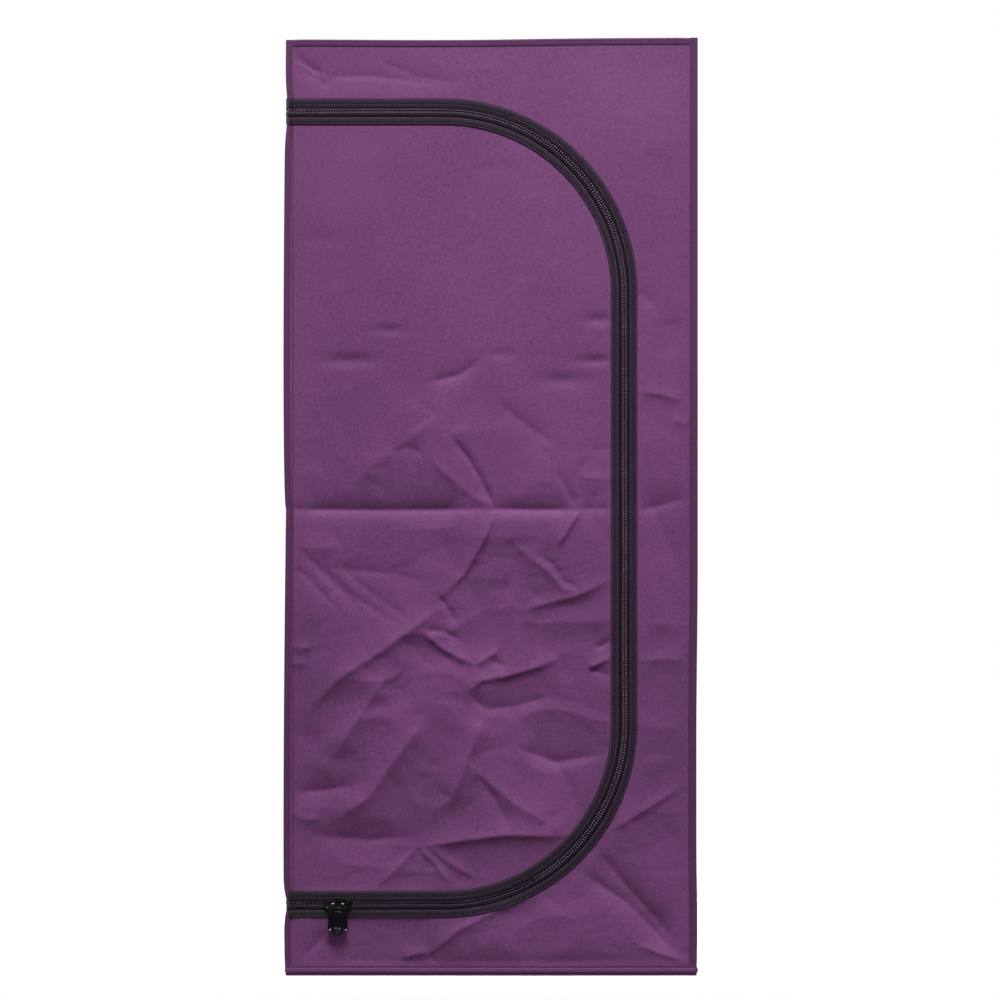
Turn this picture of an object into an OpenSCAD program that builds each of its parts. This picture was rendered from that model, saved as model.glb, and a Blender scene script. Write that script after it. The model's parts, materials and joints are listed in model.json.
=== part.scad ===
// Portable steam sauna: a zipped fabric cabin on a push-together tube frame.
// Millimetres, +Z up. The door faces -Y and its hinge seam is on the -X side.

/* [Cover] */
// Overall width of the cover
cover_w = 790; // [640:1:950]
// Overall depth of the cover
cover_d = 790; // [640:1:950]
// Overall height of the cover
cover_h = 1806; // [1500:1:2170]
// Thickness of the laminated panel fabric
panel_t = 2.4; // [1.6:0.1:4]

/* [Edge binding] */
// Width of the folded tape on each face of an edge
bind_w = 12; // [8:0.5:20]
// Thickness of the folded tape
bind_t = 1.6; // [1:0.1:2.5]
// Height of the wider tape round the foot of the cover
base_bind_h = 19; // [12:0.5:30]

/* [Door zip] */
// Distance of the zip's centre line from the right, top and bottom edges
zip_inset = 138; // [100:1:180]
// Radius of the zip's centre line at the two corners of the door
zip_r = 347; // [200:1:400]
// Width of the woven tape on each side of the centre line
tape_w = 25.5; // [18:0.5:32]
// Thickness of the woven tape
tape_t = 1.6; // [1:0.1:2.4]
// Width of each coil
coil_w = 5.2; // [4:0.1:7]
// Thickness of each coil
coil_t = 2.6; // [2:0.1:4]

/* [Zip sliders] */
// Length of one slider along the zip
slider_len = 26.4; // [18:0.1:34]
// Width of one slider across the zip
slider_w = 20.6; // [15:0.1:28]
// Distance of the meeting point of the sliders from the hinge edge of the cover
slider_at = 100; // [90:1:160]
// Width of one pull tab
tab_w = 18.8; // [12:0.1:22]
// Reach of one pull tab below its pull bar
tab_len = 60; // [40:0.5:80]
// Thickness of one pull tab
tab_t = 2.4; // [1.6:0.1:3.2]

/* [Frame] */
// Outside diameter of the frame tubes
tube_d = 19; // [16:0.5:25]
// Wall of the frame tubes
tube_wall = 1; // [0.8:0.1:2]
// Wall of the plastic sockets
socket_wall = 3.3; // [2.5:0.1:5]
// Reach of a socket from the centre of its corner
socket_reach = 62; // [45:1:90]
// Length of the sleeve that joins two upright tubes
sleeve_len = 92; // [60:1:130]

/* [Steam inlet] */
// Radius of the bore that takes the hose cuff
port_bore_r = 20; // [14:0.5:26]
// Radius of the flanges that clamp the rear panel
port_flange_r = 42; // [34:0.5:55]
// Distance of the inlet from the middle plane of the cabin
port_x = 250; // [150:1:280]
// Height of the centre of the inlet
port_z = 170; // [120:1:260]

/* [Hidden] */
$fn = 64;
round_fn = 96;
// running gap between a moving piece and its neighbour
gap = 0.4;
// half of the slit along the zip between the fixed side and the door side
slit = 0.5;
// distance from the zip's centre line to the cut edges of the panels under the tapes
cut_back = 8;

half_w = cover_w / 2;
half_d = cover_d / 2;
skin_x = half_w - bind_t;
skin_y = half_d - bind_t;
skin_z = cover_h - bind_t;
inner_x = skin_x - panel_t;
inner_y = skin_y - panel_t;
inner_z = skin_z - panel_t;

// the door's hinge seam runs up the inner edge of the front binding
hinge_x = -half_w + bind_w;
zip_left = hinge_x;
zip_right = half_w - zip_inset;
zip_low = zip_inset;
zip_high = cover_h - zip_inset;
arc_x = zip_right - zip_r;

tape_front = -skin_y - tape_t;
coil_front = tape_front - coil_t;
stop_from = 10;
stop_len = 8;
stop_t = 3;
coil_from = stop_from + stop_len;

plate_t = 2.5;
plate_back = coil_front - gap;
plate_front = plate_back - plate_t;
rail_in = coil_w + gap;
meet_x = -half_w + slider_at;
pair_gap = 0.6;
eye_r = 4;
bar_r = 1.5;
eye_w = 6;
post_w = 2.2;
tab_gap = 0.4;
bar_y = plate_front - eye_r - 1;
// the tabs hang side by side, each on the inner half of its slider
tab_off = tab_w / 2 + tab_gap;
// each tab ends in a small outer lobe and in half of the longer round lobe that the pair shares
outer_lobe_r = 3.6;
outer_lobe_rise = 7.5;
shared_lobe_r = 10.2;

socket_r = tube_d / 2 + socket_wall;
bore_r = tube_d / 2 + 0.2;
tube_start = 18;
frame_gap = 0.5;
frame_x = inner_x - frame_gap - socket_r;
frame_y = inner_y - frame_gap - socket_r;
frame_low = panel_t + frame_gap + socket_r;
frame_high = inner_z - frame_gap - socket_r;
frame_mid = (frame_low + frame_high) / 2;
web_t = 2;

flange_t = 3;
gasket_t = 1.6;
collar_len = 10;
collar_wall = 3.5;
sleeve_wall = 3;
port_hole_r = port_bore_r + sleeve_wall + 0.4;
inner_ring_t = 3;

purple = [0.44, 0.27, 0.44];
dark_purple = [0.34, 0.20, 0.36];
tape_colour = [0.22, 0.17, 0.23];
black = [0.06, 0.06, 0.07];
steel_white = [0.86, 0.87, 0.88];
grey = [0.45, 0.46, 0.48];

// ---------- helpers ----------

// a box from one corner to the opposite one
module span(low, high) {
  translate(low) cube([high[0] - low[0], high[1] - low[1], high[2] - low[2]]);
}

// an XZ outline stood up and given a thickness from y0 towards +Y
module stand(y0, thick) {
  translate([0, y0 + thick, 0]) rotate([90, 0, 0]) linear_extrude(thick) children();
}

// what a rounded corner of radius r loses from a square one, about the centre of its arc
module corner_waste(r) {
  difference() {
    square(r + 1);
    rotate(180) circle(r, $fn = round_fn);
  }
}

// the D-shaped door outline, grown outwards from the zip's centre line, from x = left
module door_outline(left, grow) {
  r = zip_r + grow;
  low = zip_low - grow;
  high = zip_high + grow;
  difference() {
    translate([left, low]) square([arc_x + r - left, high - low]);
    translate([arc_x, high - r]) corner_waste(r);
    translate([arc_x, low + r]) mirror([0, 1]) corner_waste(r);
  }
}

// the strip of that outline between two distances from the centre line
module zip_band(left, inner, outer) {
  difference() {
    door_outline(left, outer);
    door_outline(left - 1, inner);
  }
}

// ---------- fabric panels ----------

module front_panel() {
  color(purple) stand(-skin_y, panel_t) difference() {
    translate([-skin_x, 0]) square([2 * skin_x, skin_z]);
    door_outline(hinge_x, cut_back);
  }
}

module door_panel() {
  color(purple) stand(-skin_y, panel_t) door_outline(hinge_x + gap, -cut_back);
}

module side_panel(side) {
  low = side < 0 ? -skin_x : inner_x;
  color(purple) span([low, -inner_y, 0], [low + panel_t, inner_y, skin_z]);
}

module left_panel() {
  side_panel(-1);
}

module right_panel() {
  side_panel(1);
}

module rear_panel() {
  color(purple) stand(inner_y, panel_t) difference() {
    translate([-skin_x, 0]) square([2 * skin_x, skin_z]);
    translate([port_x, port_z]) circle(port_hole_r);
  }
}

module roof_panel() {
  color(purple) span([-inner_x, -inner_y, inner_z], [inner_x, inner_y, skin_z]);
}

module floor_panel() {
  color(grey) span([-inner_x, -inner_y, 0], [inner_x, inner_y, panel_t]);
}

// ---------- edge bindings ----------

// the tape folded round the four edges of the front or rear face, drawn at the front
module face_binding() {
  color(dark_purple) difference() {
    span([-half_w, -half_d, 0], [half_w, -half_d + bind_w, cover_h]);
    span([-skin_x, -skin_y, -1], [skin_x, -half_d + bind_w + 1, skin_z]);
    span([-half_w + bind_w, -half_d - 1, base_bind_h], [half_w - bind_w, -half_d + bind_w, cover_h - bind_w]);
  }
}

module front_binding() {
  face_binding();
}

module rear_binding() {
  mirror([0, 1, 0]) face_binding();
}

// the tape folded over one long edge of the roof, between the front and rear bindings
module roof_binding(side) {
  color(dark_purple) mirror([side < 0 ? 1 : 0, 0, 0]) difference() {
    span([half_w - bind_w, -half_d + bind_w, cover_h - bind_w], [half_w, half_d - bind_w, cover_h]);
    span([half_w - bind_w - 1, -half_d, cover_h - bind_w - 1], [skin_x, half_d, skin_z]);
  }
}

module roof_left_binding() {
  roof_binding(-1);
}

module roof_right_binding() {
  roof_binding(1);
}

// the wider flat tape along the foot of one side
module base_binding(side) {
  low = side < 0 ? -half_w : skin_x;
  color(dark_purple) span([low, -half_d + bind_w, 0], [low + bind_t, half_d - bind_w, base_bind_h]);
}

module base_left_binding() {
  base_binding(-1);
}

module base_right_binding() {
  base_binding(1);
}

// ---------- zip ----------

module zip_tape_frame() {
  color(tape_colour) stand(tape_front, tape_t) zip_band(zip_left, slit, tape_w);
}

module zip_tape_door() {
  color(tape_colour) stand(tape_front, tape_t) zip_band(zip_left + gap, -tape_w, -slit);
}

module zip_coil_frame() {
  color(black) stand(coil_front, coil_t) zip_band(zip_left + coil_from, slit, coil_w);
}

module zip_coil_door() {
  color(black) stand(coil_front, coil_t) zip_band(zip_left + coil_from, -coil_w, -slit);
}

// a moulded block that ends one coil; side is +1 above the centre line and -1 below it
module zip_stop(height, side) {
  low = side > 0 ? slit : -coil_w - slit;
  color(black) span(
    [zip_left + stop_from, tape_front - stop_t, height + low],
    [zip_left + coil_from, tape_front, height + low + coil_w]);
}

module zip_stop_frame_lower() {
  zip_stop(zip_low, -1);
}

module zip_stop_frame_upper() {
  zip_stop(zip_high, 1);
}

module zip_stop_door_lower() {
  zip_stop(zip_low, 1);
}

module zip_stop_door_upper() {
  zip_stop(zip_high, -1);
}

// ---------- sliders and pull tabs ----------

// one slider: top plate, two side rails that straddle the coils, two posts and the pull bar
module slider(side) {
  near = side * pair_gap / 2;
  bar_x = side * tab_off;
  color(black) translate([meet_x, 0, zip_low]) {
    translate([near, 0, 0]) mirror([side < 0 ? 1 : 0, 0, 0]) {
      span([0, plate_front, -slider_w / 2], [slider_len, plate_back, slider_w / 2]);
      for (up = [-1, 1])
        translate([0, plate_back, up > 0 ? rail_in : -slider_w / 2])
          cube([slider_len, tape_front - gap - plate_back, slider_w / 2 - rail_in]);
    }
    for (end = [-1, 1])
      translate([bar_x + end * (eye_w / 2 + gap + post_w / 2) - post_w / 2, bar_y, -bar_r])
        cube([post_w, plate_front - bar_y, 2 * bar_r]);
    translate([bar_x - eye_w / 2 - gap - post_w, bar_y, 0])
      rotate([0, 90, 0]) cylinder(h = eye_w + 2 * gap + 2 * post_w, r = bar_r);
  }
}

module slider_left() {
  slider(-1);
}

module slider_right() {
  slider(1);
}

// the outline of the right-hand pull tab below its pull bar, about its own middle line
module tab_outline() {
  shoulder = -tab_len + shared_lobe_r;
  translate([-tab_w / 2, shoulder]) square([tab_w, -eye_r - 2 - shoulder]);
  translate([tab_w / 2 - outer_lobe_r, -tab_len + outer_lobe_rise + outer_lobe_r]) circle(outer_lobe_r);
  intersection() {
    translate([-tab_w / 2, shoulder]) circle(shared_lobe_r);
    translate([-tab_w / 2, -tab_len]) square([tab_w, tab_len]);
  }
}

// one pull tab: an eye round the pull bar, a short neck and the lobed plate
module tab(side) {
  color(black) translate([meet_x + side * tab_off, bar_y, zip_low]) difference() {
    union() {
      translate([-eye_w / 2, 0, 0]) rotate([0, 90, 0]) cylinder(h = eye_w, r = eye_r);
      translate([-eye_w / 2, -tab_t / 2, -eye_r - 3]) cube([eye_w, tab_t, eye_r + 3]);
      stand(-tab_t / 2, tab_t) mirror([side < 0 ? 1 : 0, 0]) tab_outline();
    }
    translate([-eye_w / 2 - 1, 0, 0]) rotate([0, 90, 0]) cylinder(h = eye_w + 2, r = bar_r + 0.35);
  }
}

module tab_left() {
  tab(-1);
}

module tab_right() {
  tab(1);
}

// ---------- steam inlet ----------

// a ring about the inlet's axis from y0 towards +Y
module port_ring(y0, thick, outer, inner) {
  stand(y0, thick) translate([port_x, port_z]) difference() {
    circle(outer);
    circle(inner);
  }
}

module port_flange() {
  outer_y = skin_y + gasket_t;
  color(grey) {
    port_ring(outer_y, flange_t, port_flange_r, port_bore_r);
    port_ring(outer_y + flange_t, collar_len, port_bore_r + collar_wall, port_bore_r);
    port_ring(inner_y - inner_ring_t, outer_y - inner_y + inner_ring_t, port_bore_r + sleeve_wall, port_bore_r);
  }
}

module port_gasket() {
  color(black) port_ring(skin_y, gasket_t, port_flange_r, port_bore_r + sleeve_wall);
}

module port_inner_ring() {
  color(grey) port_ring(inner_y - inner_ring_t, inner_ring_t, port_flange_r, port_bore_r + sleeve_wall);
}

// ---------- frame ----------

// a socket arm with its bore, along +Z from the corner's centre
module socket_solid() {
  cylinder(h = socket_reach, r = socket_r);
}

module socket_bore() {
  translate([0, 0, tube_start]) cylinder(h = socket_reach, r = bore_r);
}

// a three-way corner: arms run from its centre towards the middle of the cabin
module corner(x_side, y_side, z_side) {
  color(grey) translate([x_side * frame_x, y_side * frame_y, z_side < 0 ? frame_low : frame_high])
    difference() {
      union() {
        sphere(socket_r);
        rotate([0, -90 * x_side, 0]) socket_solid();
        rotate([90 * y_side, 0, 0]) socket_solid();
        rotate([z_side > 0 ? 180 : 0, 0, 0]) socket_solid();
      }
      rotate([0, -90 * x_side, 0]) socket_bore();
      rotate([90 * y_side, 0, 0]) socket_bore();
      rotate([z_side > 0 ? 180 : 0, 0, 0]) socket_bore();
    }
}

module corner_base_front_left() {
  corner(-1, -1, -1);
}

module corner_base_front_right() {
  corner(1, -1, -1);
}

module corner_base_rear_left() {
  corner(-1, 1, -1);
}

module corner_base_rear_right() {
  corner(1, 1, -1);
}

module corner_top_front_left() {
  corner(-1, -1, 1);
}

module corner_top_front_right() {
  corner(1, -1, 1);
}

module corner_top_rear_left() {
  corner(-1, 1, 1);
}

module corner_top_rear_right() {
  corner(1, 1, 1);
}

// a tube of the given length along +Z
module tube(length) {
  color(steel_white) difference() {
    cylinder(h = length, r = tube_d / 2);
    translate([0, 0, -1]) cylinder(h = length + 2, r = tube_d / 2 - tube_wall);
  }
}

module upright_lower(x_side, y_side) {
  start = frame_low + tube_start;
  translate([x_side * frame_x, y_side * frame_y, start]) tube(frame_mid - web_t / 2 - start);
}

module upright_upper(x_side, y_side) {
  start = frame_mid + web_t / 2;
  translate([x_side * frame_x, y_side * frame_y, start]) tube(frame_high - tube_start - start);
}

module upright_lower_front_left() {
  upright_lower(-1, -1);
}

module upright_lower_front_right() {
  upright_lower(1, -1);
}

module upright_lower_rear_left() {
  upright_lower(-1, 1);
}

module upright_lower_rear_right() {
  upright_lower(1, 1);
}

module upright_upper_front_left() {
  upright_upper(-1, -1);
}

module upright_upper_front_right() {
  upright_upper(1, -1);
}

module upright_upper_rear_left() {
  upright_upper(-1, 1);
}

module upright_upper_rear_right() {
  upright_upper(1, 1);
}

// a sleeve with a web in the middle that both upright tubes stand against
module sleeve(x_side, y_side) {
  color(grey) translate([x_side * frame_x, y_side * frame_y, frame_mid]) difference() {
    translate([0, 0, -sleeve_len / 2]) cylinder(h = sleeve_len, r = socket_r - 0.5);
    translate([0, 0, web_t / 2]) cylinder(h = sleeve_len, r = bore_r);
    translate([0, 0, -web_t / 2 - sleeve_len]) cylinder(h = sleeve_len, r = bore_r);
  }
}

module sleeve_front_left() {
  sleeve(-1, -1);
}

module sleeve_front_right() {
  sleeve(1, -1);
}

module sleeve_rear_left() {
  sleeve(-1, 1);
}

module sleeve_rear_right() {
  sleeve(1, 1);
}

// a rail across the cabin, along X at the given depth and height
module rail_along_x(y, z) {
  start = -frame_x + tube_start;
  translate([start, y, z]) rotate([0, 90, 0]) tube(-2 * start);
}

// a rail from front to rear, along Y at the given side and height
module rail_along_y(x, z) {
  start = -frame_y + tube_start;
  translate([x, start, z]) rotate([-90, 0, 0]) tube(-2 * start);
}

module rail_base_front() {
  rail_along_x(-frame_y, frame_low);
}

module rail_base_rear() {
  rail_along_x(frame_y, frame_low);
}

module rail_base_left() {
  rail_along_y(-frame_x, frame_low);
}

module rail_base_right() {
  rail_along_y(frame_x, frame_low);
}

module rail_top_front() {
  rail_along_x(-frame_y, frame_high);
}

module rail_top_rear() {
  rail_along_x(frame_y, frame_high);
}

module rail_top_left() {
  rail_along_y(-frame_x, frame_high);
}

module rail_top_right() {
  rail_along_y(frame_x, frame_high);
}

// ---------- what is drawn ----------

front_panel();
door_panel();
left_panel();
right_panel();
rear_panel();
roof_panel();
floor_panel();
front_binding();
rear_binding();
roof_left_binding();
roof_right_binding();
base_left_binding();
base_right_binding();
zip_tape_frame();
zip_tape_door();
zip_coil_frame();
zip_coil_door();
zip_stop_frame_lower();
zip_stop_frame_upper();
zip_stop_door_lower();
zip_stop_door_upper();
slider_left();
slider_right();
tab_left();
tab_right();
port_flange();
port_gasket();
port_inner_ring();
corner_base_front_left();
corner_base_front_right();
corner_base_rear_left();
corner_base_rear_right();
corner_top_front_left();
corner_top_front_right();
corner_top_rear_left();
corner_top_rear_right();
upright_lower_front_left();
upright_lower_front_right();
upright_lower_rear_left();
upright_lower_rear_right();
upright_upper_front_left();
upright_upper_front_right();
upright_upper_rear_left();
upright_upper_rear_right();
sleeve_front_left();
sleeve_front_right();
sleeve_rear_left();
sleeve_rear_right();
rail_base_front();
rail_base_rear();
rail_base_left();
rail_base_right();
rail_top_front();
rail_top_rear();
rail_top_left();
rail_top_right();
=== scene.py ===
"""Portable steam sauna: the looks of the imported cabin, in metres, on its own frame."""
import json
import math

import bmesh
import bpy
import numpy as np
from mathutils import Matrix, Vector


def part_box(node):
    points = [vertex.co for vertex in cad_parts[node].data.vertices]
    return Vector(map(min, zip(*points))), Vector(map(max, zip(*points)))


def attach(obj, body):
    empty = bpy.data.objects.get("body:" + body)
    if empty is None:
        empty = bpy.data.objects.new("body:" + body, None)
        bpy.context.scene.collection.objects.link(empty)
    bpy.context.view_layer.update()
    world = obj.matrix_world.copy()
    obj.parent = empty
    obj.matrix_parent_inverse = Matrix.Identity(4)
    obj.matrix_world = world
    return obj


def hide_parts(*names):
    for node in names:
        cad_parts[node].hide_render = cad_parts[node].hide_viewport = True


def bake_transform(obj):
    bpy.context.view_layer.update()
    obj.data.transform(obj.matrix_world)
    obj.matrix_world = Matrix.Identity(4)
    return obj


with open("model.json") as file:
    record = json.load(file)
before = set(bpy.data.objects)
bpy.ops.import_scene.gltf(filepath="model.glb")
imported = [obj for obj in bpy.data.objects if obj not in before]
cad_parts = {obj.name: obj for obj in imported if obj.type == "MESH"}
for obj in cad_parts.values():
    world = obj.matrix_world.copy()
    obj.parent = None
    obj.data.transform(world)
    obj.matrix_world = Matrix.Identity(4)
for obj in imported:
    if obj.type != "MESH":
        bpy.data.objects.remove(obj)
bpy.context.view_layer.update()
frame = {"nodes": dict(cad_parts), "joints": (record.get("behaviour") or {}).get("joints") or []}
MM = 0.001


# ---------- sizes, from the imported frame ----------

def corners(node):
    """Lowest and highest corner of a CAD node, as arrays."""
    return [np.array(tuple(c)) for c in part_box(node)]


HALF_W, FRONT_DEPTH, HEIGHT = corners("front_binding")[1]
HALF_D = -corners("front_binding")[0][1]
BIND_W = HALF_D + FRONT_DEPTH
SKIN_D = -corners("front_panel")[0][1]
SKIN_W = corners("front_panel")[1][0]
SKIN_H = corners("front_panel")[1][2]
BIND_T = HALF_D - SKIN_D
PANEL_T = SKIN_D + corners("front_panel")[1][1]
BASE_BIND = corners("base_left_binding")[1][2]
HINGE_X = -HALF_W + BIND_W

TAPE_W = 25.5 * MM
ZIP_R = 347 * MM
ZIP_X = corners("zip_tape_frame")[1][0] - TAPE_W
ZIP_HIGH = corners("zip_tape_frame")[1][2] - TAPE_W
ZIP_LOW = corners("zip_tape_frame")[0][2] + TAPE_W
CUT_BACK = 8 * MM
ARC_X = ZIP_X - ZIP_R
RUN = ARC_X - HINGE_X
ARC = math.pi / 2 * ZIP_R
RISE = ZIP_HIGH - ZIP_LOW - 2 * ZIP_R
ZIP_LEN = 2 * RUN + 2 * ARC + RISE
GAP = 0.4 * MM
FRONT_IN = HALF_D - BIND_W
FINE, COARSE, BROAD = 3.2 * MM, 8 * MM, 20 * MM

PORT_LO, PORT_HI = corners("port_flange")
PORT_X, PORT_Z = (PORT_LO[0] + PORT_HI[0]) / 2, (PORT_LO[2] + PORT_HI[2]) / 2
PORT_HOLE = 24 * MM

SLIDER_BOX = corners("slider_right")
TAB_BOX = corners("tab_right")
TAB_JOINT = next(j for j in frame["joints"] if j["name"] == "tab_right_swing")
BAR_X, BAR_Y, BAR_Z = TAB_JOINT["pos_m"]
MEET_X = (corners("slider_left")[1][0] + SLIDER_BOX[0][0]) / 2


# ---------- small maths ----------

def ease(a, b, x):
    """0 before a, 1 after b, smooth between."""
    t = np.clip((np.asarray(x, float) - a) / (b - a), 0, 1)
    return t * t * (3 - 2 * t)


def bump(centre, width, x):
    """A soft peak of 1 at its centre."""
    return np.exp(-((np.asarray(x, float) - centre) / width) ** 2)


LATTICE = np.random.default_rng(11).random((97, 97)) * 2 - 1


def noise(u, v):
    """Smooth value noise from -1 to 1, one cell per unit."""
    iu, iv = np.floor(u).astype(int), np.floor(v).astype(int)
    fu, fv = u - iu, v - iv
    fu, fv = (f * f * f * (f * (f * 6 - 15) + 10) for f in (fu, fv))
    at = lambda a, b: LATTICE[(iu + a) % 97, (iv + b) % 97]
    low = at(0, 0) * (1 - fu) + at(1, 0) * fu
    high = at(0, 1) * (1 - fu) + at(1, 1) * fu
    return low * (1 - fv) + high * fv


def turned(u, v, degrees):
    """The same points on axes turned by an angle."""
    a = math.radians(degrees)
    return u * math.cos(a) + v * math.sin(a), -u * math.sin(a) + v * math.cos(a)


# ---------- the zip's line on the front ----------

def zip_path(s):
    """Points and outward normals at distances s along the zip, from its lower hinge end."""
    s = np.asarray(s, float)
    past_rise = RUN + ARC + RISE
    theta = -math.pi / 2 + (np.clip(s - RUN, 0, ARC) + np.clip(s - past_rise, 0, ARC)) / ZIP_R
    nx, nz = np.cos(theta), np.sin(theta)
    x = ARC_X + ZIP_R * nx - np.maximum(RUN - s, 0) - np.maximum(s - past_rise - ARC, 0)
    z = ZIP_LOW + ZIP_R + np.clip(s - RUN - ARC, 0, RISE) + ZIP_R * nz
    return x, z, nx, nz


def zip_distance(x, z):
    """Signed distance from the zip's centre line in the front plane, negative on the door's side."""
    mid = (ZIP_LOW + ZIP_HIGH) / 2
    qx = x - ARC_X
    qz = np.abs(z - mid) - (mid - ZIP_LOW - ZIP_R)
    return np.hypot(np.maximum(qx, 0), np.maximum(qz, 0)) + np.minimum(np.maximum(qx, qz), 0) - ZIP_R


# ---------- relief of the fabric ----------

# creases of the front, in mm: half width, height towards the viewer, lean, then points (x, z).
# A positive lean widens the upper flank and sharpens the lower one.
CREASES = [
    # the packing fold across the middle, deepest between the two stars
    (14, -5, 0.3, (-388, 900), (-200, 898), (7, 900)),
    (17, -6, 0.4, (0, 900), (90, 899), (171, 899)),
    (15, -2.6, 0.2, (171, 899), (235, 901)),
    (18, -3, 0.3, (284, 899), (320, 905), (355, 916), (388, 920)),
    (6, -2, 0.0, (-388, 906), (-372, 900), (-384, 889)),
    # the star in the middle of the door
    (8, -4.6, -0.3, (7, 902), (-21, 960), (-43, 997), (-69, 1030), (-88, 1049)),
    (10, 1.8, 0.0, (-5, 927), (-36, 982), (-62, 1019), (-100, 1060)),
    (14, 2, 0.2, (5, 902), (-43, 930), (-95, 975), (-125, 1008)),
    (9, 3.4, 0.4, (6, 893), (-8, 852), (-28, 815), (-52, 775), (-90, 735)),
    (32, -3.6, 0.0, (40, 850), (46, 780), (20, 720)),
    # the second star, nearer the zip
    (6, 2.8, 0.4, (171, 897), (146, 856), (126, 824)),
    (8, -2, -0.2, (165, 905), (146, 941), (124, 978)),
    (8, -1.2, 0.0, (171, 905), (171, 956), (169, 967), (183, 993), (194, 1013)),
    (9, -1, 0.0, (196, 1015), (236, 1018)),
    (9, 2.2, 0.0, (40, 838), (83, 800), (113, 778), (140, 745), (176, 741)),
    (6, -1.8, 0.0, (94, 811), (120, 793), (139, 763), (169, 745)),
    (14, 3.4, 0.2, (60, 704), (120, 722), (165, 733), (232, 765)),
    # three puckers down the middle and the folds that run from them
    (7, -2.6, 0.0, (-102, 733), (-80, 704), (-65, 674)),
    (22, 4.6, 0.3, (-98, 709), (-139, 678), (-176, 652), (-228, 615), (-288, 578), (-355, 511)),
    (10, 3.4, 0.3, (-128, 661), (-102, 637), (-65, 615), (-28, 600)),
    (7, -2.4, 0.0, (-125, 667), (-88, 663), (-58, 645)),
    (7, 2.4, 0.2, (-28, 600), (2, 619), (16, 630)),
    (6, -2, 0.0, (2, 607), (28, 596)),
    (14, 4.2, 0.4, (-47, 544), (-20, 570), (31, 578), (90, 596), (135, 615)),
    (18, -3.4, 0.0, (-43, 541), (-10, 514), (46, 520), (120, 540)),
    # gathers at the zip and at the hinge seam
    (8, 3.2, 0.3, (187, 592), (217, 607), (234, 615)),
    (8, -2.8, 0.0, (202, 630), (234, 648)),
    (6, -1.8, 0.0, (190, 592), (210, 585), (234, 577)),
    (8, 2.6, 0.2, (-386, 637), (-366, 630), (-347, 637)),
    (8, 2.6, 0.2, (-386, 600), (-355, 604)),
    (8, -1.6, 0.0, (-383, 785), (-355, 771), (-332, 745), (-295, 704)),
    (9, 2.2, 0.2, (-386, 314), (-360, 301), (-330, 303)),
    # faint parallel furrows below the fold on the hinge side
    (10, -1.4, 0.0, (-340, 800), (-270, 735), (-170, 672)),
    (9, -1.4, 0.0, (-300, 800), (-240, 745), (-160, 690)),
    (10, -1.6, 0.0, (-384, 838), (-310, 763), (-251, 704)),
    (30, -3.4, 0.0, (-290, 786), (-200, 776), (-120, 760)),
    # above the fold
    (26, 2.4, 0.0, (-266, 949), (-206, 1001), (-154, 1038), (-102, 1083)),
    (12, -1.1, 0.0, (-147, 1112), (-110, 1083), (-154, 1053), (-221, 993)),
    (18, -2.2, -0.2, (16, 1105), (61, 1068), (120, 1026)),
    (18, -2.4, 0.0, (-200, 1008), (-160, 1020), (-130, 1005)),
    (11, -2.6, 0.2, (-119, 1145), (-62, 1159), (-23, 1188)),
    # low on the door: a ledge, its star, a fan and wide slanting folds
    (18, 5, 0.4, (-141, 248), (-48, 262), (30, 272), (162, 269)),
    (10, 2.8, 0.0, (-141, 248), (-189, 200), (-224, 170)),
    (7, 2.6, 0.3, (-139, 246), (-110, 218), (-75, 170)),
    (7, 2.4, 0.3, (-118, 248), (-75, 213), (-27, 187)),
    (22, 5.2, 0.0, (-13, 498), (-48, 410), (-75, 340), (-101, 322)),
    (22, 4.2, 0.0, (-50, 410), (47, 331), (126, 285)),
    (12, -2.4, 0.0, (-31, 393), (13, 332), (39, 279)),
    (16, -3.8, 0.2, (57, 437), (127, 411), (215, 428)),
    (30, 6.2, 0.0, (-205, 575), (-250, 505), (-310, 415)),
    (32, 7, 0.0, (-120, 500), (-180, 425), (-235, 345), (-320, 290)),
    (20, -4, 0.0, (-384, 352), (-320, 358), (-255, 368)),
    (28, -4.4, 0.0, (-350, 270), (-240, 262), (-150, 268)),
    # the fixed front: above the door, beside it and below it
    (7, -2.2, 0.2, (-384, 1764), (-374, 1770), (-341, 1748), (-318, 1738)),
    (9, -1.3, 0.2, (-380, 1752), (-341, 1733), (-317, 1719), (-303, 1736), (-226, 1736), (-110, 1721)),
    (10, -1, 0.0, (-216, 1767), (-150, 1738), (-60, 1722)),
    (14, 2.4, 0.2, (288, 1128), (335, 1121), (376, 1106)),
    (10, 1.8, 0.2, (350, 1074), (382, 1060)),
    (12, -1.4, 0.0, (286, 1322), (315, 1290)),
    (14, -1.4, 0.0, (353, 1270), (353, 1190)),
    (10, 2.4, 0.3, (232, 279), (300, 322), (372, 367)),
    (20, -5.8, 0.0, (180, 200), (205, 178), (263, 140), (308, 95), (362, 36)),
    (20, -4.6, 0.0, (206, 243), (257, 178), (308, 121), (360, 62)),
    (6, 2.6, 0.3, (288, 58), (326, 42), (358, 32), (382, 20)),
    (7, -1.8, 0.0, (368, 34), (380, 52)),
    (22, -3.8, 0.0, (-384, 21), (-100, 18), (160, 21), (320, 18)),
    (9, 3.4, 0.2, (-171, 34), (-120, 47)),
    (12, 3.6, 0.3, (-120, 40), (-66, 86), (13, 126), (90, 155)),
    (7, -2.2, 0.0, (-120, 40), (-104, 22)),
    (12, -2.4, 0.0, (-364, 34), (-316, 86)),
    (10, -1.8, 0.0, (-360, 30), (0, 27), (360, 30)),
]
SHARPNESS = 1.7
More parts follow.
